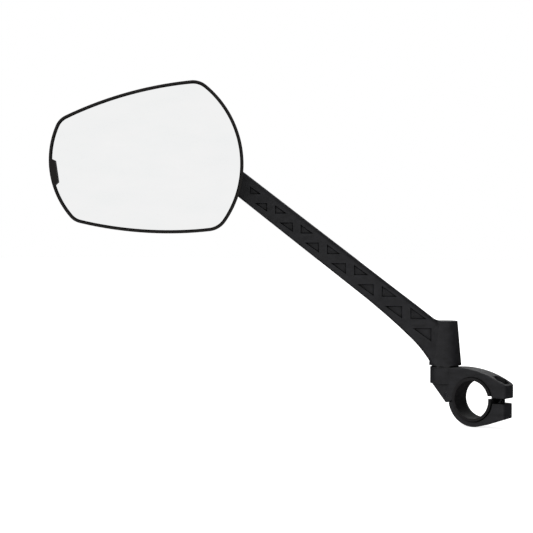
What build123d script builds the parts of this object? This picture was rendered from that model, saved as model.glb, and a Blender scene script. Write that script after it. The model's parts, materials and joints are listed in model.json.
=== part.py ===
"""Handlebar mirror: hinged bar clamp, swivelling pocketed arm, ball joint and domed mirror head.

Frame: millimetres. The origin is the centre of the bar bore, +Y runs along the bar away from the
rider, +X points from the hinge side of the clamp to its ears, and +Z is the swivel axis, upwards.
The arm and head are drawn on a plane turned about the swivel axis to face the rider.
"""

from build123d import *
from math import asin, atan2, cos, degrees, hypot, radians, sin, sqrt, tan
import os

# ---------------------------------------------------------------- driving sizes

# Bar, sleeve and jaws
bar_radius = 11.1
sleeve_wall = 1.6
sleeve_proud = 1.0
sleeve_split = 1.6
sleeve_split_height = 1.9
jaw_width = 12.0
lower_jaw_wall = 3.0
ear_beyond_screw = 5.6
ear_end_top_z = 8.8
lower_ear_shorter = 0.8
ear_corner_radius = 2.6
ear_underside_angle = 18.5
ear_slot_top_z = 1.5
ear_slot_bottom_z = -1.6
jaw_edge_radius = 0.5
body_gap = 0.3
seat_gap = 0.1
drop_in_gap = 0.15
socket_depth_share = 0.55

# Jaw hinge
hinge_pin_radius = 1.5
hinge_pin_chamfer = 0.25
hinge_pin_outside_sleeve = 4.6
hinge_pin_z = 1.7
knuckle_wall = 1.5
knuckle_cheek = 3.0
hinge_seam_wall = 1.4
hinge_seam_angle = 20.9
knuckle_neck_angle = 20.0

# Clamp screw and nut
clamp_screw_outside_sleeve = 3.1
clamp_screw_radius = 2.5
clamp_screw_head_radius = 4.25
clamp_screw_head_height = 2.8
clamp_screw_past_nut = 0.2
clamp_screw_socket = 3.0
clamp_screw_seat_z = -7.2
nut_across_flats = 8.0
nut_height = 2.7
nut_seat_z = 5.9
nut_thread_clearance = 0.25

# Swivel boss and the stack inside the barrel
pivot_outside_sleeve = 8.7
boss_radius = 8.85
boss_height = 9.6
boss_over_sleeve = 5.1
plate_slant_into_hinge = 1.133
plate_half_length = 5.8
jaw_crown_x = -1.0
jaw_crown_wall = 4.7
friction_disc_thickness = 0.9
friction_disc_inset = 0.95
spigot_radius = 5.0
spigot_height = 6.2
running_clearance = 0.05
insert_wall = 1.0
insert_length = 10.0
pivot_screw_radius = 2.5
pivot_screw_length = 20.0
pivot_screw_head_radius = 4.25
pivot_screw_head_height = 5.0
pivot_screw_socket = 4.0
pivot_washer_radius = 5.0
pivot_washer_thickness = 1.0
spring_washer_radius = 4.6
spring_washer_thickness = 1.3
spring_washer_gap = 0.2
spring_washer_split = 0.7
barrel_web = 4.0

# Barrel and arm
arm_turn = 36.7
barrel_bottom_radius = 9.55
barrel_top_radius = 7.25
barrel_height = 26.0
cap_lip_overhang = 0.6
cap_lip_thickness = 1.2
cap_plug_depth = 3.4
cap_wall = 1.2
arm_top_angle = 37.6
arm_reach = 142.0
arm_top_rise = 5.9
arm_top_meets_barrel = -12.7
arm_depth_at_head = 17.21
arm_depth_at_bend = 18.6
arm_depth_at_mid = 21.87
arm_head_run = 26.7
arm_bend_x = -50.0
arm_mid_x = -19.8
arm_low_end_x = -7.7
arm_toe_x = 4.2
arm_toe_radius = 9.0
arm_throat_radius = 10.0
throat_half_depth = 4.8
throat_tuck = 4.0
arm_base_half_depth = 6.5
arm_head_half_depth = 4.3
arm_top_edge_radius = 2.8
arm_low_edge_radius = 1.1

# Pockets in the arm's face: first one from the ball, last one from the swivel, drop from the top edge
pocket_count = 7
pocket_depth = 1.4
pocket_draft = 24.0
pocket_pitch_growth = 1.027
upper_pocket_first = (28.8, 7.0)
upper_pocket_last = (-17.9, 6.3)
upper_pocket_small = (6.8, 4.8)
upper_pocket_large = (9.9, 7.2)
lower_pocket_first = (34.3, 11.26)
lower_pocket_last = (-12.4, 12.37)
lower_pocket_small = (7.6, 5.4)
lower_pocket_large = (11.2, 8.1)

# Knuckle at the arm's end and the ball stud
ball_below_top_edge = 8.47
ball_forward = 16.0
ball_radius = 6.0
knuckle_disc_radius = 8.0
knuckle_front = 2.8
knuckle_back = -6.5
stud_neck_radius = 2.5
stud_flange_radius = 5.0
stud_flange_thickness = 1.5
stud_tapping_share = 0.7
stud_spigot_radius = 3.5
stud_spigot_length = 3.0
stud_screw_radius = 2.0
stud_screw_length = 7.5
stud_screw_head_radius = 3.8
stud_screw_head_height = 2.2
stud_screw_socket = 2.5
stud_washer_radius = 4.5
stud_washer_thickness = 0.8
knuckle_counterbore_depth = 3.6

# Ball socket in the head
cup_wall = 1.6
cup_edge = 3.0
seat_ring_front = -1.0
seat_ring_back = -3.9
preload_ring_clearance = 0.87
preload_ring_thickness = 1.4
socket_boss_rim = 2.0
socket_cap_thickness = 1.8
socket_cap_bore_flare = 0.8
socket_front_wall = 1.6
cap_screw_outside_socket = 2.3
cap_screw_radius = 0.9
cap_screw_head_radius = 1.7
cap_screw_head_height = 0.8
cap_screw_length = 6.5
cap_screw_count = 4
cap_screw_start = 45.0

# Mirror head: corners of the rim before rounding, seen from the ball, and the bow of each side
lip_forward = 13.5
rim_corners = [(-82.1, 20.2), (-2.0, 42.4), (9.3, -43.5), (-73.6, -38.7)]
rim_bows = [4.0, 19.3, 4.0, 9.8]
rim_corner_radii = [11.0, 11.9, 13.0, 10.6]
rim_wall = 1.25
shell_wall = 2.0
ledge_width = 3.0
dome_radius = 160.0
dome_centre = (-37.0, -2.0)
dome_back = -6.0
dome_edge_radius = 5.0
glass_thickness = 2.0
glass_curve_radius = 900.0
glass_edge_gap = 0.15
glass_bevel = 0.5
glass_edge_below_lip = 0.3
pad_thickness = 0.8
tab_length = 17.0
tab_width = 3.3
tab_thickness = 0.8
tab_slope = 55.0
tab_overlap = 0.9

# ---------------------------------------------------------------- shared frame values

sleeve_radius = bar_radius + sleeve_wall
sleeve_width = jaw_width + 2 * sleeve_proud
lower_jaw_bore = sleeve_radius + body_gap
lower_jaw_radius = lower_jaw_bore + lower_jaw_wall
hinge_pin_x = -sleeve_radius - hinge_pin_outside_sleeve
hinge_at = (hinge_pin_x, hinge_pin_z)
knuckle_radius = hinge_pin_radius + knuckle_wall
knuckle_width = jaw_width - 2 * knuckle_cheek
hinge_seam_radius = knuckle_radius + hinge_seam_wall
clamp_screw_x = sleeve_radius + clamp_screw_outside_sleeve
clamp_screw_length = nut_seat_z + nut_height + clamp_screw_past_nut - clamp_screw_seat_z
ear_end_x = clamp_screw_x + ear_beyond_screw
pivot_x = -sleeve_radius - pivot_outside_sleeve
boss_top_z = sleeve_radius + boss_over_sleeve
boss_bottom_z = boss_top_z - boss_height
plate_left = pivot_x - plate_half_length
plate_slant_angle = degrees(
    atan2(boss_bottom_z - hinge_pin_z, hinge_pin_x - plate_left)
    + asin(
        (hinge_seam_radius - plate_slant_into_hinge)
        / hypot(hinge_pin_x - plate_left, boss_bottom_z - hinge_pin_z)
    )
)
jaw_crown_z = sleeve_radius + jaw_crown_wall
friction_disc_radius = boss_radius - friction_disc_inset
insert_radius = pivot_screw_radius + insert_wall
barrel_bore_radius = pivot_washer_radius + body_gap
cap_lip_radius = barrel_bore_radius + cap_lip_overhang
neck_angle = radians(knuckle_neck_angle)
disc_top_z = boss_top_z + friction_disc_thickness
barrel_bottom_z = disc_top_z + seat_gap
spigot_top_z = boss_top_z + spigot_height
web_bottom_z = spigot_top_z + body_gap
web_top_z = web_bottom_z + barrel_web
washer_bottom_z = web_top_z + seat_gap
spring_bottom_z = washer_bottom_z + pivot_washer_thickness
pivot_head_z = spring_bottom_z + spring_washer_thickness
barrel_top_z = barrel_bottom_z + barrel_height



def under_top_edge(x, drop):
    """Point in the arm's plane that lies this far straight below the arm's top edge."""
    slope = tan(radians(arm_top_angle))
    return (x, barrel_top_z + arm_top_rise + (arm_top_meets_barrel - x) * slope - drop)


arm_top_at = under_top_edge(arm_top_meets_barrel, 0)
arm_low_start = under_top_edge(arm_head_run - arm_reach, arm_depth_at_head)
arm_low_bend = under_top_edge(arm_bend_x, arm_depth_at_bend)
arm_low_mid = under_top_edge(arm_mid_x, arm_depth_at_mid)
ball_at = under_top_edge(-arm_reach, ball_below_top_edge)

turn = radians(arm_turn)
facing = Vector(sin(turn), -cos(turn), 0)
sideways = Vector(cos(turn), sin(turn), 0)
arm_plane = Plane(origin=(pivot_x, 0, 0), x_dir=sideways, z_dir=facing)
ball_centre = arm_plane.from_local_coords(Vector(ball_at[0], ball_at[1], ball_forward))
head_plane = Plane(origin=ball_centre, x_dir=sideways, z_dir=facing)
poles_aside = (90, 0, 0)
cup_radius = ball_radius + running_clearance + cup_wall
socket_radius = cup_radius + running_clearance
cap_screw_circle = socket_radius + cap_screw_outside_socket
socket_boss_radius = cap_screw_circle + socket_boss_rim
socket_column_front = socket_radius + socket_front_wall
ball_at_ring = sqrt((ball_radius + running_clearance) ** 2 - seat_ring_back**2)
preload_ring_inner_radius = ball_at_ring + preload_ring_clearance
socket_cap_bore_front = preload_ring_inner_radius + seat_gap
socket_cap_bore_back = socket_cap_bore_front + socket_cap_bore_flare
stud_base = knuckle_front - ball_forward
taper_run = -arm_low_start[0] + arm_toe_x
face_taper = degrees(atan2(arm_base_half_depth - arm_head_half_depth, taper_run))


def tube(plane, outer, inner, length):
    """A plain ring that stands on a plane."""
    with BuildPart() as ring:
        with BuildSketch(plane):
            Circle(outer)
            Circle(inner, mode=Mode.SUBTRACT)
        extrude(amount=length)
    return ring.part


def socket_screw(seat, shank, head, socket, break_edge=0.3):
    """A socket-head screw: the head stands on the seat plane, the shank hangs below it."""
    with BuildPart() as screw:
        with BuildSketch(seat):
            Circle(head[0])
        extrude(amount=head[1])
        with BuildSketch(seat.offset(head[1])):
            RegularPolygon(radius=socket / 2, side_count=6, major_radius=False)
        extrude(amount=-head[1] * socket_depth_share, mode=Mode.SUBTRACT)
        with BuildSketch(seat):
            Circle(shank[0])
        extrude(amount=-shank[1])
        rims = screw.edges().filter_by(GeomType.CIRCLE)
        chamfer(rims.sort_by(Axis(seat.origin, seat.z_dir))[0], break_edge)
        chamfer(rims.sort_by(Axis(seat.origin, seat.z_dir))[-1], break_edge)
    return screw.part


def across_bar(width):
    """Plane square to the bar, at the far side of a piece of this width centred on the clamp."""
    return Plane.XZ.offset(-width / 2)


def along_seam(x, drop):
    """Height of the seam between the jaws at x, lowered square to the seam by drop."""
    a = radians(hinge_seam_angle)
    reach = hinge_seam_radius + drop
    return hinge_pin_z + ((x - hinge_pin_x) * sin(a) - reach) / cos(a)


def clamp_plate_outline(side):
    """Upper jaw seen along the bar: ears, crowned top, slanted hinge side; the bore is still closed."""
    a = radians(hinge_seam_angle)
    slant = radians(plate_slant_angle)
    past_hinge = 2 * hinge_seam_radius
    slant_cut = 5 * jaw_width
    seam_start = (hinge_pin_x + hinge_seam_radius * sin(a), hinge_pin_z - hinge_seam_radius * cos(a))
    with BuildSketch(side) as outline:
        with BuildLine():
            Polyline(
                (pivot_x + plate_half_length, boss_top_z),
                (plate_left, boss_top_z),
                (plate_left, hinge_pin_z),
                (hinge_pin_x - past_hinge * sin(slant), hinge_pin_z - past_hinge * cos(slant)),
                hinge_at,
                seam_start,
                (-bar_radius, along_seam(-bar_radius, 0)),
                (0, ear_slot_top_z),
                (ear_end_x, ear_slot_top_z),
                (ear_end_x, ear_end_top_z),
            )
            ThreePointArc(
                (ear_end_x, ear_end_top_z),
                (jaw_crown_x, jaw_crown_z),
                (pivot_x + plate_half_length, boss_top_z),
            )
        make_face()
        with Locations(hinge_at):
            Circle(hinge_seam_radius)
        with Locations((plate_left, boss_bottom_z)):
            Rectangle(
                slant_cut,
                slant_cut / 2,
                rotation=-plate_slant_angle,
                align=(Align.CENTER, Align.MAX),
                mode=Mode.SUBTRACT,
            )
        Circle(sleeve_radius, mode=Mode.SUBTRACT)
    return outline.sketch


def lower_jaw_outline(side):
    """Lower jaw seen along the bar: ring, ear and the seam under the hinge."""
    a = radians(ear_underside_angle)
    tangent = (lower_jaw_radius * sin(a), -lower_jaw_radius * cos(a))
    ear_end = ear_end_x - lower_ear_shorter
    ear_low_z = tangent[1] + (ear_end - tangent[0]) * tan(a)
    far = 3 * lower_jaw_radius
    with BuildSketch(side) as outline:
        Circle(lower_jaw_radius)
        Polygon(
            (0, 0),
            tangent,
            (ear_end, ear_low_z),
            (ear_end, ear_slot_bottom_z),
            (0, ear_slot_bottom_z),
            align=None,
        )
        Polygon(
            (-far, along_seam(-far, body_gap)),
            (-bar_radius, along_seam(-bar_radius, body_gap)),
            (0, ear_slot_bottom_z),
            (far, ear_slot_bottom_z),
            (far, far),
            (-far, far),
            align=None,
            mode=Mode.SUBTRACT,
        )
        with Locations(hinge_at):
            Circle(hinge_seam_radius + body_gap, mode=Mode.SUBTRACT)
        Circle(lower_jaw_bore, mode=Mode.SUBTRACT)
    return outline.sketch


def long_edges(part):
    """Edges of the two flat sides of a jaw, in front of and behind the bar's axis."""
    sides = part.faces().filter_by(Axis.Y).sort_by(Axis.Y)
    return sides[0].edges() + sides[-1].edges()


# ---------------------------------------------------------------- clamp

with BuildPart() as upper_jaw:
    extrude(clamp_plate_outline(across_bar(jaw_width)), amount=jaw_width)
    fillet(upper_jaw.edges().filter_by(Axis.Z).group_by(Axis.X)[-1], ear_corner_radius)
    fillet(long_edges(upper_jaw), jaw_edge_radius)
    with BuildSketch(Plane.XY.offset(boss_bottom_z)):
        with Locations((pivot_x, 0)):
            Circle(boss_radius)
    extrude(amount=boss_top_z - boss_bottom_z)
    # flat seat for the friction disc, where the crown swells above it
    with BuildSketch(Plane.XY.offset(boss_top_z)):
        with Locations((pivot_x, 0)):
            Circle(boss_radius)
    extrude(amount=spigot_height, mode=Mode.SUBTRACT)
    with BuildSketch(Plane.XY.offset(boss_top_z)):
        with Locations((pivot_x, 0)):
            Circle(spigot_radius)
    extrude(amount=spigot_height)
    # slot for the lower jaw's knuckle
    with BuildSketch(across_bar(knuckle_width + 2 * body_gap)):
        with Locations(hinge_at):
            Circle(knuckle_radius + body_gap)
            Rectangle(2 * jaw_width, jaw_width, align=(Align.CENTER, Align.MAX))
    extrude(amount=knuckle_width + 2 * body_gap, mode=Mode.SUBTRACT)
    with BuildSketch(across_bar(jaw_width)):
        with Locations(hinge_at):
            Circle(hinge_pin_radius)
    extrude(amount=jaw_width, mode=Mode.SUBTRACT)
    # insert pocket and screw clearance in the boss
    with BuildSketch(Plane.XY.offset(spigot_top_z)):
        with Locations((pivot_x, 0)):
            Circle(insert_radius)
    extrude(amount=-insert_length, mode=Mode.SUBTRACT)
    with BuildSketch(Plane.XY.offset(spigot_top_z)):
        with Locations((pivot_x, 0)):
            Circle(pivot_screw_radius + body_gap)
    extrude(amount=pivot_head_z - pivot_screw_length - body_gap - spigot_top_z, mode=Mode.SUBTRACT)
    # nut pocket and screw hole in the ear
    with BuildSketch(Plane.XY.offset(nut_seat_z)):
        with Locations((clamp_screw_x, 0)):
            RegularPolygon(nut_across_flats / 2 + seat_gap, 6, major_radius=False, rotation=30)
    extrude(amount=boss_top_z, mode=Mode.SUBTRACT)
    with BuildSketch(Plane.XY):
        with Locations((clamp_screw_x, 0)):
            Circle(clamp_screw_radius + nut_thread_clearance + drop_in_gap)
    extrude(amount=boss_top_z, mode=Mode.SUBTRACT)

with BuildPart() as lower_jaw:
    extrude(lower_jaw_outline(across_bar(jaw_width)), amount=jaw_width)
    fillet(lower_jaw.edges().filter_by(Axis.Z).group_by(Axis.X)[-1], ear_corner_radius)
    fillet(long_edges(lower_jaw), jaw_edge_radius)
    with BuildSketch(across_bar(knuckle_width)):
        with Locations(hinge_at):
            Circle(knuckle_radius)
        Polygon(
            (hinge_pin_x - knuckle_radius, hinge_pin_z),
            (-lower_jaw_radius * cos(neck_angle), -lower_jaw_radius * sin(neck_angle)),
            (-bar_radius * cos(neck_angle), -bar_radius * sin(neck_angle)),
            (hinge_pin_x + knuckle_radius, hinge_pin_z),
            align=None,
        )
        Circle(lower_jaw_bore, mode=Mode.SUBTRACT)
    extrude(amount=knuckle_width)
    with BuildSketch(across_bar(knuckle_width)):
        with Locations(hinge_at):
            Circle(hinge_pin_radius + running_clearance)
    extrude(amount=knuckle_width, mode=Mode.SUBTRACT)
    with BuildSketch(Plane.XY.offset(clamp_screw_seat_z)):
        with Locations((clamp_screw_x, 0)):
            Circle(clamp_screw_head_radius + drop_in_gap)
    extrude(amount=-lower_jaw_radius, mode=Mode.SUBTRACT)
    with BuildSketch(Plane.XY):
        with Locations((clamp_screw_x, 0)):
            Circle(clamp_screw_radius + body_gap)
    extrude(amount=-lower_jaw_radius, mode=Mode.SUBTRACT)

with BuildPart() as hinge_pin:
    with BuildSketch(across_bar(jaw_width)):
        with Locations(hinge_at):
            Circle(hinge_pin_radius)
    extrude(amount=jaw_width)
    chamfer(hinge_pin.edges(), hinge_pin_chamfer)

with BuildPart() as clamp_sleeve:
    with BuildSketch(across_bar(sleeve_width)):
        Circle(sleeve_radius)
        Circle(bar_radius, mode=Mode.SUBTRACT)
        with Locations((sleeve_radius, sleeve_split_height)):
            Rectangle(2 * sleeve_wall + 2, sleeve_split, mode=Mode.SUBTRACT)
    extrude(amount=sleeve_width)

screw_seat = Plane(
    origin=(clamp_screw_x, 0, clamp_screw_seat_z),
    x_dir=(1, 0, 0),
    z_dir=(0, 0, -1),
)
clamp_screw = socket_screw(
    screw_seat,
    (clamp_screw_radius, clamp_screw_length),
    (clamp_screw_head_radius, clamp_screw_head_height),
    clamp_screw_socket,
)

with BuildPart() as clamp_nut:
    with BuildSketch(Plane.XY.offset(nut_seat_z)):
        with Locations((clamp_screw_x, 0)):
            RegularPolygon(nut_across_flats / 2, 6, major_radius=False, rotation=30)
            Circle(clamp_screw_radius + nut_thread_clearance, mode=Mode.SUBTRACT)
    extrude(amount=nut_height)

# ---------------------------------------------------------------- swivel


def on_pivot(z):
    """Level plane on the swivel axis."""
    return Plane(origin=(pivot_x, 0, z), x_dir=(1, 0, 0), z_dir=(0, 0, 1))


pivot_friction_disc = tube(
    on_pivot(boss_top_z), friction_disc_radius, spigot_radius + seat_gap, friction_disc_thickness
)
pivot_insert = tube(
    on_pivot(spigot_top_z - insert_length), insert_radius, pivot_screw_radius, insert_length
)
pivot_washer = tube(
    on_pivot(washer_bottom_z), pivot_washer_radius, pivot_screw_radius + drop_in_gap, pivot_washer_thickness
)
pivot_screw = socket_screw(
    on_pivot(pivot_head_z),
    (pivot_screw_radius, pivot_screw_length),
    (pivot_screw_head_radius, pivot_screw_head_height),
    pivot_screw_socket,
)

with BuildPart() as pivot_spring_washer:
    with BuildSketch(on_pivot(spring_bottom_z)):
        Circle(spring_washer_radius)
        Circle(pivot_screw_radius + spring_washer_gap, mode=Mode.SUBTRACT)
        with Locations((spring_washer_radius, 0)):
            Rectangle(2 * spring_washer_radius, spring_washer_split, mode=Mode.SUBTRACT)
    extrude(amount=spring_washer_thickness)

# ---------------------------------------------------------------- arm


def arm_outline():
    """Arm seen by the rider: straight top edge with a rounded toe, low edge bending to the barrel."""
    a = radians(arm_top_angle)
    slope = tan(a)
    head_x = ball_at[0]
    top_at_head = arm_top_at[1] + (arm_top_at[0] - head_x) * slope
    low_slope = (arm_low_start[1] - arm_low_bend[1]) / (arm_low_bend[0] - arm_low_start[0])
    low_at_head = arm_low_start[1] + (arm_low_start[0] - head_x) * low_slope
    corner_z = arm_top_at[1] + (arm_top_at[0] - arm_toe_x) * slope
    with BuildSketch(arm_plane.offset(-barrel_bottom_radius)) as outline:
        with BuildLine():
            low = Line((head_x, low_at_head), arm_low_bend)
            sag = TangentArc(low @ 1, arm_low_mid, tangent=low % 1)
            heel = TangentArc(sag @ 1, (arm_low_end_x, barrel_bottom_z), tangent=sag % 1)
            Polyline(
                heel @ 1,
                (arm_toe_x, barrel_bottom_z),
                (arm_toe_x, corner_z),
                (head_x, top_at_head),
                (head_x, low_at_head),
            )
        make_face()
        fillet(outline.vertices().sort_by_distance((arm_toe_x, corner_z))[0], arm_toe_radius)
    return outline.sketch


def throat_outline():
    """Web that rounds the arm's top edge into the flat top of the barrel."""
    slope = tan(radians(arm_top_angle))
    meet_x = arm_top_at[0] + (arm_top_at[1] - barrel_top_z) / slope
    back = meet_x - 2 * arm_throat_radius
    with BuildSketch(arm_plane.offset(-throat_half_depth)) as outline:
        Polygon(
            (back, barrel_top_z + (meet_x - back) * slope),
            (meet_x, barrel_top_z),
            (barrel_top_radius / 2, barrel_top_z),
            (barrel_top_radius / 2, barrel_top_z - throat_tuck),
            (back, barrel_top_z + (meet_x - back) * slope - 1.5 * throat_tuck),
            align=None,
        )
        fillet(outline.vertices().sort_by_distance((meet_x, barrel_top_z))[0], arm_throat_radius)
    return outline.sketch


def pocket_places(first, last, small, large):
    """Centroid and legs of each pocket in a row; pitch and size grow evenly along the row."""
    first = under_top_edge(first[0] - arm_reach, first[1])
    last = under_top_edge(*last)
    total = sum(pocket_pitch_growth**i for i in range(pocket_count - 1))
    places = []
    for i in range(pocket_count):
        share = sum(pocket_pitch_growth**k for k in range(i)) / total
        step = i / (pocket_count - 1)
        middle = (first[0] + (last[0] - first[0]) * share, first[1] + (last[1] - first[1]) * share)
        legs = [small[k] * (large[k] / small[k]) ** step for k in (0, 1)]
        places.append((middle, legs))
    return places


def pocket(middle, legs, hand):
    """One right-angled triangle about its centroid; hand 1 has its square corner low on the left."""
    corner = (middle[0] - hand * legs[0] / 3, middle[1] - hand * legs[1] / 3)
    across = (corner[0] + hand * legs[0], corner[1])
    up = (corner[0], corner[1] + hand * legs[1])
    Polygon(corner, across, up, align=None)


def taper_outline():
    """Arm seen from above its face: thick at the barrel and thinner at the head."""
    far = ball_at[0] - knuckle_disc_radius
    lost = (arm_base_half_depth - arm_head_half_depth) / taper_run
    depth = arm_base_half_depth - (arm_toe_x - far) * lost
    with BuildSketch(Plane(origin=arm_plane.origin, x_dir=sideways, z_dir=(0, 0, 1))) as outline:
        Polygon(
            (far, -depth),
            (arm_toe_x, -arm_base_half_depth),
            (barrel_bottom_radius, -arm_base_half_depth),
            (barrel_bottom_radius, arm_base_half_depth),
            (arm_toe_x, arm_base_half_depth),
            (far, depth),
            align=None,
        )
    return outline.sketch


def neck_outline():
    """Wedge taken off the arm's face where it dips behind the head."""
    far = ball_at[0] - 2 * knuckle_disc_radius
    near = ball_at[0] + 2 * knuckle_disc_radius
    with BuildSketch(Plane(origin=arm_plane.origin, x_dir=sideways, z_dir=(0, 0, 1))) as outline:
        Polygon(
            (far, -knuckle_front),
            (near, -knuckle_front),
            (near + knuckle_disc_radius, -arm_head_half_depth - 1),
            (far, -arm_head_half_depth - 1),
            align=None,
        )
    return outline.sketch


def at_ball(forward):
    """Plane facing the rider through the ball's axis, this far in front of the arm's middle plane."""
    origin = arm_plane.from_local_coords(Vector(ball_at[0], ball_at[1], forward))
    return Plane(origin=origin, x_dir=sideways, z_dir=facing)


face_at_axis = Vector(0, 0, arm_base_half_depth - arm_toe_x * tan(radians(face_taper)))
face_plane = Plane(
    origin=arm_plane.from_local_coords(face_at_axis),
    x_dir=sideways.rotate(Axis.Z, -face_taper),
    z_dir=facing.rotate(Axis.Z, -face_taper),
)


def side_edges(slab):
    """Long edges of the arm's two faces: those of the top edge and toe, then those of the low edge."""
    top, low = [], []
    for edge in slab.edges():
        middle = arm_plane.to_local_coords(edge.center())
        on_face = abs(middle.Z) > knuckle_front
        at_end = middle.X < ball_at[0] + 1 or middle.Y < barrel_bottom_z + 1
        if on_face and not at_end:
            top_z = arm_top_at[1] + (arm_top_at[0] - middle.X) * tan(radians(arm_top_angle))
            near_top = middle.X > 0 or middle.Y > top_z - arm_top_edge_radius
            (top if near_top else low).append(edge)
    return top, low


with BuildPart() as arm_slab:
    extrude(arm_outline(), amount=2 * barrel_bottom_radius)
    extrude(taper_outline(), amount=2 * ball_at[1], mode=Mode.INTERSECT)
    fillet(side_edges(arm_slab)[0], arm_top_edge_radius)
    fillet(side_edges(arm_slab)[1], arm_low_edge_radius)
    extrude(neck_outline(), amount=2 * ball_at[1], mode=Mode.SUBTRACT)

with BuildPart() as arm:
    add(arm_slab.part)
    extrude(throat_outline(), amount=2 * throat_half_depth)
    with Locations((pivot_x, 0, barrel_bottom_z)):
        Cone(
            barrel_bottom_radius,
            barrel_top_radius,
            barrel_height,
            align=(Align.CENTER, Align.CENTER, Align.MIN),
        )
    with BuildSketch(at_ball(knuckle_back)):
        Circle(knuckle_disc_radius)
    extrude(amount=knuckle_front - knuckle_back)
    # swivel bores, from the friction disc up to the cap
    bores = [
        (barrel_bottom_z, web_bottom_z, spigot_radius + running_clearance),
        (web_bottom_z, web_top_z, pivot_screw_radius + body_gap),
        (web_top_z, barrel_top_z, barrel_bore_radius),
        (barrel_top_z - cap_lip_thickness, barrel_top_z, cap_lip_radius),
    ]
    for low, high, radius in bores:
        with BuildSketch(on_pivot(low)):
            Circle(radius)
        extrude(amount=high - low, mode=Mode.SUBTRACT)
    # ball stud seat and screw counterbore in the knuckle
    stud_web = knuckle_front - stud_spigot_length
    screw_seat_back = knuckle_back + knuckle_counterbore_depth
    for front, back, radius in [
        (knuckle_front, stud_web, stud_spigot_radius),
        (stud_web, screw_seat_back, stud_screw_radius + drop_in_gap),
        (screw_seat_back, knuckle_back, stud_washer_radius + drop_in_gap),
    ]:
        with BuildSketch(at_ball(front)):
            Circle(radius)
        extrude(amount=back - front, mode=Mode.SUBTRACT)
    # pockets in the face
    with BuildSketch(face_plane):
        for middle, legs in pocket_places(
            upper_pocket_first, upper_pocket_last, upper_pocket_small, upper_pocket_large
        ):
            pocket(middle, legs, 1)
        for middle, legs in pocket_places(
            lower_pocket_first, lower_pocket_last, lower_pocket_small, lower_pocket_large
        ):
            pocket(middle, legs, -1)
    extrude(amount=-pocket_depth, taper=pocket_draft, mode=Mode.SUBTRACT)

with BuildPart() as barrel_cap:
    with BuildSketch(on_pivot(barrel_top_z - cap_lip_thickness)):
        Circle(cap_lip_radius - running_clearance)
    extrude(amount=cap_lip_thickness)
    with BuildSketch(on_pivot(barrel_top_z - cap_lip_thickness)):
        Circle(barrel_bore_radius - running_clearance)
        Circle(barrel_bore_radius - cap_wall, mode=Mode.SUBTRACT)
    extrude(amount=-cap_plug_depth)

# ---------------------------------------------------------------- ball stud

with BuildPart(head_plane) as ball_stud:
    Sphere(ball_radius)
    with BuildSketch(head_plane.offset(stud_base)):
        Circle(stud_neck_radius)
    extrude(amount=-stud_base)
    with BuildSketch(head_plane.offset(stud_base)):
        Circle(stud_flange_radius)
    extrude(amount=stud_flange_thickness)
    with BuildSketch(head_plane.offset(stud_base)):
        Circle(stud_spigot_radius)
    extrude(amount=-stud_spigot_length)
    with BuildSketch(head_plane.offset(stud_base - stud_spigot_length)):
        Circle(stud_screw_radius)
    extrude(amount=stud_spigot_length + stud_flange_thickness * stud_tapping_share, mode=Mode.SUBTRACT)

stud_washer_plane = Plane(
    origin=at_ball(screw_seat_back).origin, x_dir=sideways, z_dir=facing * -1
)
stud_washer = tube(
    stud_washer_plane, stud_washer_radius, stud_screw_radius + seat_gap, stud_washer_thickness
)
stud_screw = socket_screw(
    stud_washer_plane.offset(stud_washer_thickness),
    (stud_screw_radius, stud_screw_length),
    (stud_screw_head_radius, stud_screw_head_height),
    stud_screw_socket,
)

# ---------------------------------------------------------------- ball socket

with BuildPart(head_plane) as friction_cup:
    Sphere(cup_radius)
    Sphere(ball_radius + running_clearance, mode=Mode.SUBTRACT)
    with Locations((0, 0, cup_edge)):
        Box(
            4 * cup_radius,
            4 * cup_radius,
            4 * cup_radius,
            align=(Align.CENTER, Align.CENTER, Align.MAX),
            mode=Mode.SUBTRACT,
        )

with BuildPart(head_plane) as seat_ring:
    with BuildSketch(head_plane.offset(seat_ring_back)):
        Circle(cup_radius)
    extrude(amount=seat_ring_front - seat_ring_back)
    Sphere(ball_radius + running_clearance, mode=Mode.SUBTRACT)

preload_back = seat_ring_back - running_clearance - preload_ring_thickness
preload_ring = tube(
    head_plane.offset(preload_back),
    cup_radius - drop_in_gap,
    preload_ring_inner_radius,
    preload_ring_thickness,
)

cap_back = preload_back - socket_cap_thickness

with BuildPart(head_plane) as socket_cap:
    with BuildSketch(head_plane.offset(cap_back)):
        Circle(socket_boss_radius)
    extrude(amount=socket_cap_thickness)
    with BuildSketch(head_plane.offset(cap_back)):
        Circle(socket_cap_bore_back)
    with BuildSketch(head_plane.offset(preload_back)):
        Circle(socket_cap_bore_front)
    loft(mode=Mode.SUBTRACT)
    with BuildSketch(head_plane.offset(cap_back)):
        with PolarLocations(cap_screw_circle, cap_screw_count, start_angle=cap_screw_start):
            Circle(cap_screw_radius + drop_in_gap)
    extrude(amount=socket_cap_thickness, mode=Mode.SUBTRACT)

# ---------------------------------------------------------------- head


def head_outline(level, inset):
    """Rim outline at a height over the ball: four bowed sides with rounded corners, moved inwards."""
    with BuildSketch(head_plane.offset(level)) as outline:
        with BuildLine():
            for i in range(len(rim_corners)):
                SagittaArc(rim_corners[i], rim_corners[(i + 1) % 4], rim_bows[i])
        make_face()
        for corner, radius in zip(rim_corners, rim_corner_radii):
            fillet(outline.vertices().sort_by_distance(corner)[0], radius)
        if inset:
            offset(amount=-inset, mode=Mode.REPLACE)
    return outline.sketch


def dome(inset):
    """Ball that gives the back of the head its crown."""
    with BuildPart(head_plane) as ball:
        with Locations((dome_centre[0], dome_centre[1], dome_back + dome_radius)):
            Sphere(dome_radius - inset, rotation=poles_aside)
    return ball.part


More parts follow.
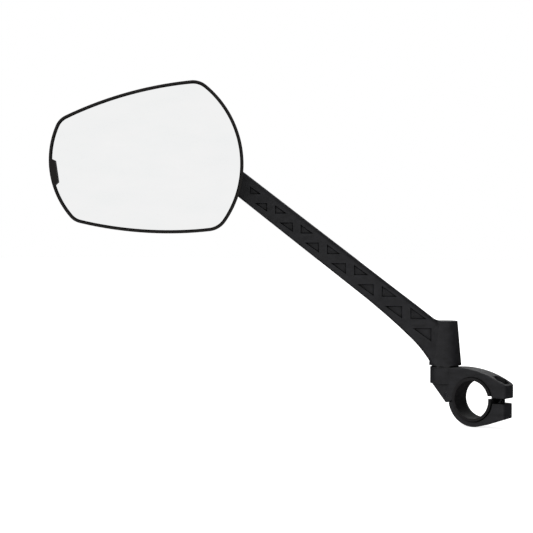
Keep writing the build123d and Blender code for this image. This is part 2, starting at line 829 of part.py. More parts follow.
def lens(level):
    """Ball whose front skin passes the rim at this height, for the bent glass and pad."""
    rise = glass_curve_radius - sqrt(glass_curve_radius**2 - (rim_corners[1][0] - dome_centre[0]) ** 2)
    centre = level + rise - glass_curve_radius
    with BuildPart(head_plane) as ball:
        with Locations((dome_centre[0], dome_centre[1], centre)):
            Sphere(glass_curve_radius, rotation=poles_aside)
    return ball.part


# the tab sits at the middle of the outer side
outer_low, outer_high = Vector(*rim_corners[3]), Vector(*rim_corners[0])
along_outer = (outer_high - outer_low).normalized()
inwards = Vector(along_outer.Y, -along_outer.X)
tab_middle = (outer_low + outer_high) / 2 - inwards * (rim_bows[3] - tab_overlap)
tab_angle = degrees(atan2(along_outer.Y, along_outer.X)) - 180

glass_front = lip_forward - glass_edge_below_lip
glass_back = glass_front - glass_thickness
pad_back = glass_back - pad_thickness

glass_inset = rim_wall + glass_edge_gap

with BuildPart() as cavity:
    extrude(head_outline(dome_back, rim_wall + ledge_width), amount=lip_forward - dome_back)
    add(dome(shell_wall), mode=Mode.INTERSECT)

with BuildPart() as glass_seat:
    extrude(head_outline(0, rim_wall), amount=2 * lip_forward)
    add(lens(pad_back), mode=Mode.SUBTRACT)

with BuildPart() as head_shell:
    extrude(head_outline(dome_back, 0), amount=lip_forward - dome_back)
    add(dome(0), mode=Mode.INTERSECT)
    below_lip = lip_forward - 1
    crown_edges = [
        edge
        for edge in head_shell.edges()
        if head_plane.to_local_coords(edge.center()).Z < below_lip
    ]
    fillet(crown_edges, dome_edge_radius)
    add(cavity.part, mode=Mode.SUBTRACT)
    # socket column and its rear boss
    with BuildSketch(head_plane.offset(preload_back)):
        Circle(socket_boss_radius)
    extrude(amount=socket_column_front - preload_back)
    add(glass_seat.part, mode=Mode.SUBTRACT)
    with Locations(head_plane):
        Sphere(socket_radius, mode=Mode.SUBTRACT)
    with BuildSketch(head_plane.offset(preload_back)):
        Circle(socket_radius)
    extrude(amount=-preload_back, mode=Mode.SUBTRACT)
    with BuildSketch(head_plane.offset(preload_back)):
        with PolarLocations(cap_screw_circle, cap_screw_count, start_angle=cap_screw_start):
            Circle(cap_screw_radius)
    extrude(amount=cap_screw_length, mode=Mode.SUBTRACT)
    # tab that laps over the glass on the outer side
    with BuildSketch(head_plane.offset(lip_forward)):
        with Locations(tab_middle):
            Trapezoid(
                tab_length, tab_width, tab_slope, rotation=tab_angle, align=(Align.CENTER, Align.MIN)
            )
    extrude(amount=tab_thickness)

with BuildPart() as glass_foam_pad:
    extrude(head_outline(0, glass_inset), amount=2 * lip_forward)
    add(lens(glass_back), mode=Mode.INTERSECT)
    add(lens(pad_back), mode=Mode.SUBTRACT)

with BuildPart() as mirror_glass:
    extrude(head_outline(0, glass_inset), amount=2 * lip_forward)
    add(lens(glass_front), mode=Mode.INTERSECT)
    add(lens(glass_back), mode=Mode.SUBTRACT)
    front_face = mirror_glass.faces().sort_by(Axis(head_plane.origin, head_plane.z_dir))[-1]
    chamfer(front_face.edges(), glass_bevel)

with BuildPart(head_plane) as socket_cap_screws:
    with BuildSketch(head_plane.offset(cap_back)):
        with PolarLocations(cap_screw_circle, cap_screw_count, start_angle=cap_screw_start):
            Circle(cap_screw_radius)
    extrude(amount=cap_screw_length)
    with BuildSketch(head_plane.offset(cap_back)):
        with PolarLocations(cap_screw_circle, cap_screw_count, start_angle=cap_screw_start):
            Circle(cap_screw_head_radius)
    extrude(amount=-cap_screw_head_height)

pieces = {
    "upper_jaw": upper_jaw.part,
    "lower_jaw": lower_jaw.part,
    "hinge_pin": hinge_pin.part,
    "clamp_sleeve": clamp_sleeve.part,
    "clamp_screw": clamp_screw,
    "clamp_nut": clamp_nut.part,
    "pivot_friction_disc": pivot_friction_disc,
    "pivot_insert": pivot_insert,
    "pivot_washer": pivot_washer,
    "pivot_spring_washer": pivot_spring_washer.part,
    "pivot_screw": pivot_screw,
    "arm": arm.part,
    "barrel_cap": barrel_cap.part,
    "ball_stud": ball_stud.part,
    "stud_washer": stud_washer,
    "stud_screw": stud_screw,
    "friction_cup": friction_cup.part,
    "seat_ring": seat_ring.part,
    "preload_ring": preload_ring,
    "socket_cap": socket_cap.part,
    "socket_cap_screws": socket_cap_screws.part,
    "head_shell": head_shell.part,
    "glass_foam_pad": glass_foam_pad.part,
    "mirror_glass": mirror_glass.part,
}

os.makedirs("parts", exist_ok=True)
for name, piece in pieces.items():
    piece.label = name
    export_step(piece, f"parts/{name}.step")
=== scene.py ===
import json
from math import atan2, cos, pi, radians, sin

import bmesh
import bpy
from mathutils import Matrix, Vector


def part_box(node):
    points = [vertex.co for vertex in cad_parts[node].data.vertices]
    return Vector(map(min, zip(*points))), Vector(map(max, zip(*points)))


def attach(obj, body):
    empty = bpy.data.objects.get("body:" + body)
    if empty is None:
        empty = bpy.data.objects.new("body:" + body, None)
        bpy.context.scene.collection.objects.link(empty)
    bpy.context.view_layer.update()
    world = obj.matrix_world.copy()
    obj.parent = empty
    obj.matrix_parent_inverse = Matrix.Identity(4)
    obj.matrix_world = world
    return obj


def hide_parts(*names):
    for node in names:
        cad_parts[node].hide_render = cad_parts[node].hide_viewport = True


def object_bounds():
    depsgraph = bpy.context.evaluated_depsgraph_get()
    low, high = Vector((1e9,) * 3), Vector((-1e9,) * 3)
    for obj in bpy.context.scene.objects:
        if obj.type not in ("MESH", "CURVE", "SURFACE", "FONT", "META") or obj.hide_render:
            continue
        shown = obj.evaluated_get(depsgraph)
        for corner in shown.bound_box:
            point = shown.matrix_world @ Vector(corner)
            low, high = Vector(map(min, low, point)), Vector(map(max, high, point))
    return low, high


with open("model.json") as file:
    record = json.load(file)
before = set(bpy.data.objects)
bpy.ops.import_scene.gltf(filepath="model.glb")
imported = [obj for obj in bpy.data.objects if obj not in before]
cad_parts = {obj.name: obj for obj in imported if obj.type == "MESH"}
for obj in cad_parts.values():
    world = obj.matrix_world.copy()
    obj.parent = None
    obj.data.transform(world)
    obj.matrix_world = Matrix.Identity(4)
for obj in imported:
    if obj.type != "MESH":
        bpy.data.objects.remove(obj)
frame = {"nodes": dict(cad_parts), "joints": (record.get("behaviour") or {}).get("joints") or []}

# Looks of a handlebar mirror: moulded nylon clamp and pocketed arm, ABS head, convex mirror and
# socket-head screws. Everything is in metres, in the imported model's own frame.

cad_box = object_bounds()
joints = {joint["name"]: joint for joint in frame["joints"]}
up = Vector((0, 0, 1))
facing = Vector(joints["head_roll"]["axis"])
sideways = Vector(joints["head_tilt"]["axis"])
swivel = Vector(joints["arm_swivel"]["pos_m"])
ball = Vector(joints["head_roll"]["pos_m"])

mm = 0.001
scene = bpy.context.scene


def linear(hex_colour):
    """An sRGB hex colour as the linear colour that the shaders work in."""
    shares = [int(hex_colour[i : i + 2], 16) / 255 for i in (1, 3, 5)]
    return tuple(c / 12.92 if c <= 0.04045 else ((c + 0.055) / 1.055) ** 2.4 for c in shares) + (1.0,)


def join(tree, node, feeds):
    """Gives a node's inputs their values, or links them to another node or to one of its outputs."""
    for socket, value in feeds.items():
        if isinstance(value, bpy.types.Node):
            value = next(output for output in value.outputs if not output.is_unavailable)
        if isinstance(value, bpy.types.NodeSocket):
            tree.links.new(value, node.inputs[socket])
        else:
            node.inputs[socket].default_value = value


def add(tree, kind, feeds=None, **settings):
    """Adds a node with its settings and its feeds."""
    node = tree.nodes.new(kind)
    for name, value in settings.items():
        setattr(node, name, value)
    join(tree, node, feeds or {})
    return node


# ---------------------------------------------------------------- camera, floor and light

camera_distance = 0.9
camera_turn = radians(0.3)
camera_elevation = radians(1.0)
camera_lens = 102.87
aim_along_arm = -0.1057
aim_height = 0.07693

to_camera = facing * cos(camera_turn) + sideways * sin(camera_turn)
picture_right = sideways * cos(camera_turn) - facing * sin(camera_turn)
aim = Vector((swivel.x, swivel.y, aim_height)) + picture_right * aim_along_arm
back = to_camera * cos(camera_elevation) + up * sin(camera_elevation)
camera = bpy.data.objects.new("camera", bpy.data.cameras.new("camera"))
camera.data.lens = camera_lens
camera.data.sensor_width = 36.0
camera.location = aim + back * camera_distance
camera.rotation_mode = "QUATERNION"
camera.rotation_quaternion = (-back).to_track_quat("-Z", "Y")
scene.collection.objects.link(camera)
scene.camera = camera
scene.view_settings.view_transform = "Standard"

# Pale studio: a bright wall in front of the mirror, dim sides, and plain white behind the object
front_edge = radians(24)
front_fade = radians(46)
studio_dim = 0.06
studio_bright = 1.0

world = bpy.data.worlds.new("pale_studio")
world.use_nodes = True
scene.world = world
sky = world.node_tree
sky.nodes.clear()
outwards = add(sky, "ShaderNodeTexCoord").outputs["Generated"]
towards = add(sky, "ShaderNodeVectorMath", {0: outwards, 1: facing}, operation="DOT_PRODUCT")
wall = add(
    sky,
    "ShaderNodeMapRange",
    {
        "Value": towards.outputs["Value"],
        "From Min": cos(front_fade),
        "From Max": cos(front_edge),
        "To Min": studio_dim,
        "To Max": studio_bright,
    },
    interpolation_type="SMOOTHSTEP",
)
seen = add(sky, "ShaderNodeLightPath").outputs["Is Camera Ray"]
level = add(sky, "ShaderNodeMath", {0: wall, 1: seen}, operation="MAXIMUM")
backdrop = add(sky, "ShaderNodeBackground", {"Color": linear("#FFFFFF"), "Strength": level})
add(sky, "ShaderNodeOutputWorld", {"Surface": backdrop})

floor_reach = 6.0
floor_gap = 0.3 * mm
floor_mesh = bpy.data.meshes.new("floor")
floor_z = cad_box[0].z - floor_gap
floor_mesh.from_pydata(
    [(x * floor_reach, y * floor_reach, floor_z) for x, y in ((-1, -1), (1, -1), (1, 1), (-1, 1))],
    [],
    [(0, 1, 2, 3)],
)
floor = bpy.data.objects.new("floor", floor_mesh)
scene.collection.objects.link(floor)
floor.visible_glossy = False


def lamp(name, kind, towards_lamp, energy, distance=1.0, **settings):
    """A lamp seen from the object in this direction; area lamps stand off by their own distance."""
    light = bpy.data.lights.new(name, kind)
    light.energy = energy
    for setting, value in settings.items():
        setattr(light, setting, value)
    holder = bpy.data.objects.new(name, light)
    direction_out = towards_lamp.normalized()
    holder.location = aim + direction_out * distance
    holder.rotation_mode = "QUATERNION"
    holder.rotation_quaternion = direction_out.to_track_quat("Z", "Y")
    scene.collection.objects.link(holder)


overhead_from = up - sideways * 0.22 + facing * 0.1
strip_from = -sideways * 1.0 + up * 0.25 + facing * 0.45
panel_from = -facing * 1.0 + up * 0.7 + sideways * 0.3
strip_size = {"shape": "RECTANGLE", "size": 0.25, "size_y": 1.0}
panel_size = {"shape": "RECTANGLE", "size": 0.9, "size_y": 0.6}
lamp("overhead_soft", "SUN", overhead_from, energy=1.6, angle=radians(70))
lamp("left_strip", "AREA", strip_from, energy=4.5, distance=1.1, **strip_size)
lamp("rear_soft", "AREA", panel_from, energy=4.0, distance=1.3, **panel_size)

# ---------------------------------------------------------------- finishes

# Direction in which the nylon flowed along the arm, and the levels that a noise mostly stays between
arm_bearing = atan2(sideways.y, sideways.x)
spread = {"From Min": 0.3, "From Max": 0.7}


def start_material(name):
    """A new material with an empty tree, its output and its Principled shader."""
    material = bpy.data.materials.new(name)
    material.use_nodes = True
    tree = material.node_tree
    tree.nodes.clear()
    shader = add(tree, "ShaderNodeBsdfPrincipled")
    add(tree, "ShaderNodeOutputMaterial", {"Surface": shader})
    return material, tree, shader


def patches(tree, size_mm, detail=2.0, stretch=(1, 1, 1), turn=0.0):
    """Cloudy variation with patches of a real size in millimetres, turned and stretched as asked."""
    place = add(tree, "ShaderNodeTexCoord").outputs["Object"]
    turned = add(tree, "ShaderNodeMapping", {"Vector": place, "Rotation": (0, 0, turn), "Scale": stretch})
    cloudy = {"Vector": turned, "Scale": 1 / (size_mm * mm), "Detail": detail, "Roughness": 0.6}
    return add(tree, "ShaderNodeTexNoise", cloudy)


def rubbed_edges(tree, width_mm, breakup):
    """Where hands and tools rub: 1 on outer edges of about this width, broken up by a pattern."""
    worn_through = 0.86
    untouched = 0.995
    rounded = add(tree, "ShaderNodeBevel", {"Radius": width_mm * mm}, samples=6)
    flat = add(tree, "ShaderNodeNewGeometry").outputs["Normal"]
    turned = add(tree, "ShaderNodeVectorMath", {0: rounded, 1: flat}, operation="DOT_PRODUCT")
    edge = add(
        tree,
        "ShaderNodeMapRange",
        {
            "Value": turned.outputs["Value"],
            "From Min": worn_through,
            "From Max": untouched,
            "To Min": 1.0,
            "To Max": 0.0,
        },
    )
    return add(tree, "ShaderNodeMath", {0: edge, 1: breakup}, operation="MULTIPLY")


def painted_crevice_shade(tree, colour, depth_mm, darkest):
    """Paints shade into a colour in gaps and pockets about this deep, darker where ambient occlusion finds
    nearby surfaces.
    """
    occlusion = add(tree, "ShaderNodeAmbientOcclusion", {"Distance": depth_mm * mm}, samples=8)
    share = add(
        tree,
        "ShaderNodeMapRange",
        {"Value": occlusion.outputs["AO"], "From Min": 0.25, "From Max": 0.85, "To Min": darkest},
    )
    shade_grey = add(tree, "ShaderNodeCombineColor", {0: share, 1: share, 2: share})
    feeds = {"Factor": 1.0, "A": colour, "B": shade_grey}
    return add(tree, "ShaderNodeMix", feeds, data_type="RGBA", blend_type="MULTIPLY")


def moulded_plastic(name, face, rubbed, grain_mm, grain_depth_mm, smooth, rough, gloss):
    """Moulded plastic: a spark-eroded grain, cloudy handling marks, paler, smoother rubbed edges and
    painted shade in its pockets.
    """
    material, tree, shader = start_material(name)
    grain = patches(tree, grain_mm, detail=3.0)
    cloud = patches(tree, 11.0)
    flow = patches(tree, 3.2, detail=3.0, stretch=(0.25, 1, 1), turn=-arm_bearing)
    breakup = add(tree, "ShaderNodeMapRange", {"Value": cloud, "To Min": 0.25, "To Max": 0.9, **spread})
    rub = rubbed_edges(tree, 0.45, breakup)
    tone = add(tree, "ShaderNodeMapRange", {"Value": flow, "To Min": 0.0, "To Max": 0.35, **spread})
    pair = {"A": linear(face), "B": linear(rubbed)}
    body = add(tree, "ShaderNodeMix", {"Factor": tone, **pair}, data_type="RGBA")
    worn = add(tree, "ShaderNodeMix", {"Factor": rub, "A": body, "B": linear(rubbed)}, data_type="RGBA")
    matt = add(tree, "ShaderNodeMapRange", {"Value": grain, "To Min": smooth, "To Max": rough, **spread})
    handling = add(tree, "ShaderNodeMapRange", {"Value": cloud, "To Min": -0.05, "To Max": 0.05, **spread})
    handled = add(tree, "ShaderNodeMath", {0: matt, 1: handling}, operation="ADD")
    polish = add(tree, "ShaderNodeMath", {0: rub, 1: 0.14}, operation="MULTIPLY")
    final = add(tree, "ShaderNodeMath", {0: handled, 1: polish}, operation="SUBTRACT", use_clamp=True)
    relief = add(
        tree, "ShaderNodeBump", {"Strength": 0.6, "Distance": grain_depth_mm * mm, "Height": grain}
    )
    # painted shade: gaps and pockets darkened in the base colour by ambient occlusion
    colour = painted_crevice_shade(tree, worn, 2.4, 0.02)
    join(tree, shader, {"Base Color": colour, "Roughness": final, "Normal": relief})
    join(tree, shader, {"Specular IOR Level": gloss})
    return material


def turned_metal(name, bright, dull, smooth, rough, line_mm, edge="#9A9C9F"):
    """Machined metal: fine tool lines along its height, clouded plating and brighter rubbed edges."""
    material, tree, shader = start_material(name)
    place = add(tree, "ShaderNodeTexCoord").outputs["Object"]
    # Wave repeats every 2 pi / 20 of a unit at scale 1, so the lines are drawn about six times as
    # coarse as the tool left them, which lets them show
    lines = add(
        tree,
        "ShaderNodeTexWave",
        {"Vector": place, "Scale": 1 / (line_mm * mm) / 20, "Distortion": 0.6, "Detail": 2.0},
        wave_type="BANDS",
        bands_direction="Z",
    ).outputs["Fac"]
    cloud = patches(tree, 2.5, detail=4.0)
    breakup = add(tree, "ShaderNodeMapRange", {"Value": cloud, "To Min": 0.3, "To Max": 1.0, **spread})
    rub = rubbed_edges(tree, 0.2, breakup)
    tarnish = add(tree, "ShaderNodeMapRange", {"Value": cloud, "To Min": 0.0, "To Max": 1.0, **spread})
    pair = {"A": linear(bright), "B": linear(dull)}
    plated = add(tree, "ShaderNodeMix", {"Factor": tarnish, **pair}, data_type="RGBA")
    colour = add(tree, "ShaderNodeMix", {"Factor": rub, "A": plated, "B": linear(edge)}, data_type="RGBA")
    matt = add(tree, "ShaderNodeMapRange", {"Value": cloud, "To Min": smooth, "To Max": rough, **spread})
    relief = add(tree, "ShaderNodeBump", {"Strength": 0.25, "Distance": 0.02 * mm, "Height": lines})
    join(tree, shader, {"Base Color": colour, "Roughness": matt, "Normal": relief, "Metallic": 1.0})
    return material


# The grains below are all drawn about twice as coarse as they are, so that they still show.

# Glass-filled nylon from a spark-eroded mould: a dull, faintly blue black whose fine grain breaks
# up every highlight. The real grain is 0.3 mm; it is drawn at 0.7 mm so that it still shows.
nylon = moulded_plastic("glass_filled_nylon_moulded", "#101012", "#2A2A2E", 0.7, 0.05, 0.5, 0.66, 0.3)
# ABS head from a satin mould: smoother and a little browner, so its rim reads almost pure black
shell = moulded_plastic("abs_satin_moulded", "#0E0C0B", "#1E1B19", 0.5, 0.02, 0.42, 0.55, 0.18)
# Thermoplastic elastomer sleeve: soft, slightly bloomed grey-black with hardly any highlight
liner = moulded_plastic("elastomer_liner_moulded", "#0D0C0D", "#1E1D1F", 0.9, 0.03, 0.66, 0.82, 0.3)
# Nitrile preload ring: the same black, coarser and flatter
rubber = moulded_plastic("nitrile_ring_moulded", "#121212", "#242424", 1.1, 0.05, 0.74, 0.88, 0.25)
# Black acetal friction disc under the barrel: waxy, a shade glossier than the nylon round it
black_acetal = moulded_plastic("acetal_black_turned", "#0C0C0D", "#1C1C1E", 0.6, 0.01, 0.34, 0.46, 0.4)
# Natural acetal, turned: waxy off-white that shows faint darker handling on its edges
acetal = moulded_plastic("acetal_natural_turned", "#D9D7CE", "#BDBAB0", 0.6, 0.01, 0.34, 0.46, 0.5)

# Black-oxide steel screws: near-black metal, oily and half-glossy, bare and grey on the edges
black_steel = turned_metal("steel_black_oxide", "#2C2C2F", "#1B1B1D", 0.32, 0.48, 0.35)
# Zinc-plated steel pin, washers, nut and ball stud: cool silver with a clouded satin lustre
zinc = turned_metal("steel_zinc_plated", "#B4B7BB", "#94979C", 0.24, 0.38, 0.3, edge="#D5D7DA")
# Turned brass insert: warm yellow metal with its tool lines left on
brass = turned_metal("brass_turned", "#C6A15C", "#A98543", 0.22, 0.36, 0.4, edge="#E2C68D")


def closed_cell_foam():
    """Adhesive foam: a charcoal pad pitted by cells of about 0.4 mm, drawn at 0.8 mm to show."""
    material, tree, shader = start_material("foam_closed_cell")
    place = add(tree, "ShaderNodeTexCoord").outputs["Object"]
    cells = add(tree, "ShaderNodeTexVoronoi", {"Vector": place, "Scale": 1 / (0.8 * mm)})
    share = add(tree, "ShaderNodeMapRange", {"Value": cells, "From Min": 0.1, "From Max": 0.6})
    pair = {"A": linear("#1A1A1A"), "B": linear("#3A3A3A")}
    colour = add(tree, "ShaderNodeMix", {"Factor": share, **pair}, data_type="RGBA")
    relief = add(tree, "ShaderNodeBump", {"Strength": 0.8, "Distance": 0.1 * mm, "Height": cells})
    join(tree, shader, {"Base Color": colour, "Normal": relief, "Roughness": 0.95})
    return material


def chromed_glass():
    """Convex mirror: chrome behind clear glass, bright and neutral, with a faint film of wiping."""
    material, tree, shader = start_material("mirror_chromed_glass")
    film = patches(tree, 26.0, detail=5.0, stretch=(1, 1, 2.5))
    share = add(tree, "ShaderNodeMapRange", {"Value": film, **spread})
    pair = {"A": linear("#F2F2F2"), "B": linear("#EFF0F0")}
    colour = add(tree, "ShaderNodeMix", {"Factor": share, **pair}, data_type="RGBA")
    haze = add(tree, "ShaderNodeMapRange", {"Value": film, "To Min": 0.006, "To Max": 0.03, **spread})
    join(tree, shader, {"Base Color": colour, "Roughness": haze, "Metallic": 1.0})
    return material


foam = closed_cell_foam()
mirror = chromed_glass()

# Floor: opal light table, matt white with a barely visible tooth and a soft glow that lifts shadows
floor_material, floor_tree, floor_shader = start_material("light_table_matt_white")
tooth = patches(floor_tree, 60.0)
floor_pair = {"A": linear("#DCDCDC"), "B": linear("#E2E2E2")}
floor_colour = add(floor_tree, "ShaderNodeMix", {"Factor": tooth, **floor_pair}, data_type="RGBA")
join(floor_tree, floor_shader, {"Base Color": floor_colour, "Roughness": 1.0})
join(floor_tree, floor_shader, {"Emission Color": linear("#FFFFFF"), "Emission Strength": 0.85})
floor_mesh.materials.append(floor_material)

finishes = {
    nylon: ["upper_jaw", "lower_jaw", "arm", "barrel_cap", "socket_cap"],
    shell: ["head_shell"],
    liner: ["clamp_sleeve"],
    rubber: ["preload_ring"],
    black_acetal: ["pivot_friction_disc"],
    acetal: ["friction_cup", "seat_ring"],
    zinc: ["clamp_nut", "pivot_washer", "pivot_spring_washer", "stud_washer", "ball_stud"],
    black_steel: ["hinge_pin"],
    brass: ["pivot_insert"],
    foam: ["glass_foam_pad"],
    mirror: ["mirror_glass"],
}
for material, names in finishes.items():
    for name in names:
        slots = frame["nodes"][name].data.materials
        slots.clear()
        slots.append(material)

# ---------------------------------------------------------------- threaded screws


weld_distance = 0.001 * mm
sharp_angle = radians(35)


def screw_tree():
    """Geometry Nodes for socket-head screws with a cut thread, seat at z 0 and shank downwards.

    One sheet of points is wrapped round the axis: its rows run from the middle of the socket over
    the head and down the thread to the tip. Copies stand on a circle when the count is above one.
    """
    group = bpy.data.node_groups.new("socket_screw", "GeometryNodeTree")
    kinds = {
        "NodeSocketFloat": [
            "Head Radius",
            "Head Height",
            "Socket Width",
            "Socket Depth",
            "Shank Radius",
            "Shank Length",
            "Pitch",
            "Thread Depth",
            "Break Edge",
            "Circle Radius",
            "Circle Start",
        ],
        "NodeSocketInt": ["Count", "Around", "Thread Rows"],
        "NodeSocketMaterial": ["Material"],
    }
    for kind, names in kinds.items():
        for name in names:
            group.interface.new_socket(name, in_out="INPUT", socket_type=kind)
    group.interface.new_socket("Geometry", in_out="OUTPUT", socket_type="NodeSocketGeometry")
    size = add(group, "NodeGroupInput").outputs
    math = "ShaderNodeMath"

    head_rows = 8
    rim_share = 0.62
    mouth_share = 0.4
    flank_slope = 1.35
    crest_flat = 0.15
    tip_share = 0.2
    rows = add(group, math, {0: size["Thread Rows"], 1: head_rows}, operation="ADD")
    columns = add(group, math, {0: size["Around"], 1: 1}, operation="ADD")
    grid = {"Size X": 1.0, "Size Y": 1.0, "Vertices X": columns, "Vertices Y": rows}
    sheet = add(group, "GeometryNodeMeshGrid", grid)
    position = add(group, "GeometryNodeInputPosition")
    place = add(group, "ShaderNodeSeparateXYZ", {0: position}).outputs
    across = add(group, math, {0: place["X"], 1: 0.5}, operation="ADD")
    angle = add(group, math, {0: across, 1: 2 * pi}, operation="MULTIPLY")
    last_row = add(group, math, {0: rows, 1: 1}, operation="SUBTRACT")
    along = add(group, math, {0: place["Y"], 1: 0.5}, operation="ADD")
    row_place = add(group, math, {0: along, 1: last_row}, operation="MULTIPLY")
    row = add(group, math, {0: row_place}, operation="ROUND")

    # hexagon of the socket: its half width over the cosine of the angle from the nearest flat
    to_flat = add(group, math, {0: angle, 1: pi / 6}, operation="ADD")
    in_sector = add(group, math, {0: to_flat, 1: pi / 3}, operation="FLOORED_MODULO")
    corner = add(group, math, {0: in_sector, 1: pi / 6}, operation="SUBTRACT")
    slant = add(group, math, {0: corner}, operation="COSINE")
    half_width = add(group, math, {0: size["Socket Width"], 1: 0.5}, operation="MULTIPLY")
    hexagon = add(group, math, {0: half_width, 1: slant}, operation="DIVIDE")

    # head: middle of the socket, its hexagon, its rim, top, broken edge, side, seat, shank
    rim = add(group, math, {0: size["Socket Width"], 1: rim_share}, operation="MULTIPLY")
    top_radius = add(group, math, {0: size["Head Radius"], 1: size["Break Edge"]}, operation="SUBTRACT")
    root = add(group, math, {0: size["Shank Radius"], 1: size["Thread Depth"]}, operation="SUBTRACT")
    floor_z = add(group, math, {0: size["Head Height"], 1: size["Socket Depth"]}, operation="SUBTRACT")
    shoulder = add(group, math, {0: size["Head Height"], 1: size["Break Edge"]}, operation="SUBTRACT")
    mouth_drop = add(group, math, {0: size["Break Edge"], 1: mouth_share}, operation="MULTIPLY")
    mouth = add(group, math, {0: size["Head Height"], 1: mouth_drop}, operation="SUBTRACT")
    side = size["Head Radius"]
    top = size["Head Height"]
    radii = [0.0, hexagon, hexagon, rim, top_radius, side, side, root]
    heights = [floor_z, floor_z, mouth, top, top, shoulder, 0.0, 0.0]
    head_points = []
    for values in (radii, heights):
        pick = add(group, "GeometryNodeIndexSwitch", {"Index": row}, data_type="FLOAT")
        while len(pick.index_switch_items) < head_rows:
            pick.index_switch_items.new()
        join(group, pick, {1 + i: value for i, value in enumerate(values)})
        head_points.append(pick)

    # thread: a ridge that climbs one pitch a turn, with a lead-in cone and a closed tip
    past_head = add(group, math, {0: row, 1: head_rows}, operation="SUBTRACT")
    steps = add(group, math, {0: size["Thread Rows"], 1: 2}, operation="SUBTRACT")
    down = add(group, math, {0: past_head, 1: steps}, operation="DIVIDE")
    no_further = add(group, math, {0: down, 1: 1.0}, operation="MINIMUM")
    depth = add(group, math, {0: no_further, 1: size["Shank Length"]}, operation="MULTIPLY")
    pitches = add(group, math, {0: depth, 1: size["Pitch"]}, operation="DIVIDE")
    round_share = add(group, math, {0: angle, 1: 2 * pi}, operation="DIVIDE")
    turns = add(group, math, {0: pitches, 1: round_share}, operation="ADD")
    part_turn = add(group, math, {0: turns}, operation="FRACT")
    doubled = add(group, math, {0: part_turn, 1: 2.0}, operation="MULTIPLY")
    centred = add(group, math, {0: doubled, 1: 1.0}, operation="SUBTRACT")
    saw = add(group, math, {0: centred}, operation="ABSOLUTE")
    steep = add(group, math, {0: saw, 1: flank_slope, 2: -crest_flat}, operation="MULTIPLY_ADD")
    above_crest = add(group, math, {0: steep, 1: 0.0}, operation="MAXIMUM")
    flank = add(group, math, {0: above_crest, 1: 1.0}, operation="MINIMUM")
    cut = add(group, math, {0: flank, 1: size["Thread Depth"]}, operation="MULTIPLY")
    crest = add(group, math, {0: size["Shank Radius"], 1: cut}, operation="SUBTRACT")
    left_over = add(group, math, {0: size["Shank Length"], 1: depth}, operation="SUBTRACT")
    tip_drop = add(group, math, {0: size["Pitch"], 1: tip_share}, operation="MULTIPLY")
    tip_radius = add(group, math, {0: root, 1: tip_drop}, operation="SUBTRACT")
    lead_in = add(group, math, {0: tip_radius, 1: left_over}, operation="ADD")
    threaded = add(group, math, {0: crest, 1: lead_in}, operation="MINIMUM")
    before_last = add(group, math, {0: last_row, 1: 0.5}, operation="SUBTRACT")
    is_tip = add(group, math, {0: row, 1: before_last}, operation="GREATER_THAN")
    is_open = add(group, math, {0: 1.0, 1: is_tip}, operation="SUBTRACT")
    shank_radius = add(group, math, {0: threaded, 1: is_open}, operation="MULTIPLY")
    shank_height = add(group, math, {0: depth, 1: -1.0}, operation="MULTIPLY")
    on_shank = add(group, math, {0: row, 1: head_rows - 0.5}, operation="GREATER_THAN")
    outline = []
    for head, shank in zip(head_points, (shank_radius, shank_height)):
        choice = {"Switch": on_shank, "False": head, "True": shank}
        outline.append(add(group, "GeometryNodeSwitch", choice, input_type="FLOAT"))
    reach, height = outline

    cosine = add(group, math, {0: angle}, operation="COSINE")
    sine = add(group, math, {0: angle}, operation="SINE")
    reach_x = add(group, math, {0: reach, 1: cosine}, operation="MULTIPLY")
    reach_y = add(group, math, {0: reach, 1: sine}, operation="MULTIPLY")
    wrapped = add(group, "ShaderNodeCombineXYZ", {0: reach_x, 1: reach_y, 2: height})
    shaped = add(group, "GeometryNodeSetPosition", {"Geometry": sheet, "Position": wrapped})
    closed = add(group, "GeometryNodeMergeByDistance", {"Geometry": shaped, "Distance": weld_distance})

    # copies on a circle
    index = add(group, "GeometryNodeInputIndex")
    round_index = add(group, math, {0: index, 1: 2 * pi}, operation="MULTIPLY")
    step = add(group, math, {0: round_index, 1: size["Count"]}, operation="DIVIDE")
    bearing = add(group, math, {0: step, 1: size["Circle Start"]}, operation="ADD")
    bearing_cosine = add(group, math, {0: bearing}, operation="COSINE")
    bearing_sine = add(group, math, {0: bearing}, operation="SINE")
    spot_x = add(group, math, {0: size["Circle Radius"], 1: bearing_cosine}, operation="MULTIPLY")
    spot_y = add(group, math, {0: size["Circle Radius"], 1: bearing_sine}, operation="MULTIPLY")
    spot = add(group, "ShaderNodeCombineXYZ", {0: spot_x, 1: spot_y})
    spots = add(group, "GeometryNodePoints", {"Count": size["Count"], "Position": spot})
    copies = add(group, "GeometryNodeInstanceOnPoints", {"Points": spots, "Instance": closed})
    real = add(group, "GeometryNodeRealizeInstances", {"Geometry": copies})
    named = {"Geometry": real, "Material": size["Material"]}
    finished = add(group, "GeometryNodeSetMaterial", named)
    add(group, "NodeGroupOutput", {0: finished})
    return group


socket_screw_tree = screw_tree()


def outward(mesh):
    """Turns every face of a closed mesh outwards and shades it smooth between its sharp edges."""
    work = bmesh.new()
    work.from_mesh(mesh)
    bmesh.ops.remove_doubles(work, verts=work.verts, dist=weld_distance)
    bmesh.ops.recalc_face_normals(work, faces=work.faces)
    work.to_mesh(mesh)
    work.free()
    mesh.shade_smooth()
    mesh.set_sharp_from_angle(angle=sharp_angle)


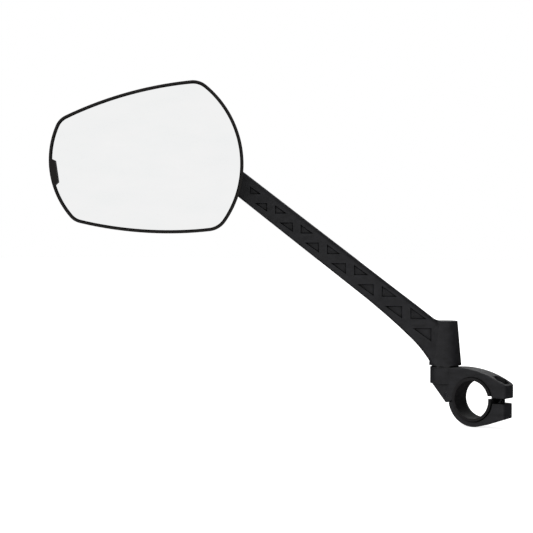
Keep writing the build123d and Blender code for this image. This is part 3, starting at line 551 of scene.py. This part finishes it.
def screws(name, replaced, body, origin, axis, sizes):
    """Makes one set of screws with its seat at the origin, heads along the axis."""
    carrier = bpy.data.objects.new(name + "_carrier", bpy.data.meshes.new(name + "_carrier"))
    scene.collection.objects.link(carrier)
    modifier = carrier.modifiers.new("screw", "NODES")
    modifier.node_group = socket_screw_tree
    given = {
        "Count": 1,
        "Circle Radius": 0.0,
        "Circle Start": 0.0,
        "Around": 48,
        "Material": black_steel,
    }
    given.update(sizes)
    for item in socket_screw_tree.interface.items_tree:
        if item.in_out == "INPUT":
            modifier[item.identifier] = given[item.name]
    evaluated = carrier.evaluated_get(bpy.context.evaluated_depsgraph_get())
    mesh = bpy.data.meshes.new_from_object(evaluated)
    carrier.modifiers.remove(modifier)
    bpy.data.objects.remove(carrier)
    outward(mesh)
    place = Matrix.Translation(origin) @ axis.to_track_quat("Z", "Y").to_matrix().to_4x4()
    mesh.transform(place)
    mesh.name = name
    made = bpy.data.objects.new(name, mesh)
    scene.collection.objects.link(made)
    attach(made, body)
    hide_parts(replaced)


def screw_sizes(head, socket, shank, pitch):
    """A screw's sizes as the tree's inputs; head and shank are a radius and a length, all in mm."""
    head_radius, head_height = head
    shank_radius, shank_length = shank
    socket_share = 0.55
    thread_share = 0.54
    edge_share = 0.07
    rows_per_turn = 8
    return {
        "Head Radius": head_radius * mm,
        "Head Height": head_height * mm,
        "Socket Width": socket * mm,
        "Socket Depth": head_height * socket_share * mm,
        "Shank Radius": shank_radius * mm,
        "Shank Length": shank_length * mm,
        "Pitch": pitch * mm,
        "Thread Depth": thread_share * pitch * mm,
        "Thread Rows": round(rows_per_turn * shank_length / pitch),
        "Break Edge": edge_share * head_radius * mm,
    }


clamp_low, clamp_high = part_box("clamp_screw")
pivot_low, pivot_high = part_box("pivot_screw")
# Heights of two heads, and how far behind the ball the other two seats are, in millimetres
clamp_head = 2.8
pivot_head = 5.0
stud_seat = 19.7
cap_seat = 7.15

clamp_end = Vector(((clamp_low.x + clamp_high.x) / 2, (clamp_low.y + clamp_high.y) / 2, clamp_low.z))
pivot_end = Vector(((pivot_low.x + pivot_high.x) / 2, (pivot_low.y + pivot_high.y) / 2, pivot_high.z))
cap_circle = 10.0
clamp_sizes = screw_sizes(head=(4.25, clamp_head), socket=3.0, shank=(2.5, 16.0), pitch=0.8)
pivot_sizes = screw_sizes(head=(4.25, pivot_head), socket=4.0, shank=(2.5, 20.0), pitch=0.8)
stud_sizes = screw_sizes(head=(3.8, 2.2), socket=2.5, shank=(2.0, 7.5), pitch=0.7)
cap_sizes = screw_sizes(head=(1.7, 0.8), socket=1.3, shank=(0.9, 6.5), pitch=0.45)
four_round = {"Count": 4, "Circle Radius": cap_circle * mm, "Circle Start": radians(45), "Around": 24}
cap_sizes.update(four_round)
clamp_seat_at = clamp_end + up * clamp_head * mm
pivot_seat_at = pivot_end - up * pivot_head * mm
stud_seat_at = ball - facing * stud_seat * mm
cap_seat_at = ball - facing * cap_seat * mm

screws("clamp_screw_threaded", "clamp_screw", "screw", clamp_seat_at, -up, clamp_sizes)
screws("pivot_screw_threaded", "pivot_screw", "clamp", pivot_seat_at, up, pivot_sizes)
screws("stud_screw_threaded", "stud_screw", "swivel_arm", stud_seat_at, -facing, stud_sizes)
screws("cap_screws_threaded", "socket_cap_screws", "head", cap_seat_at, -facing, cap_sizes)
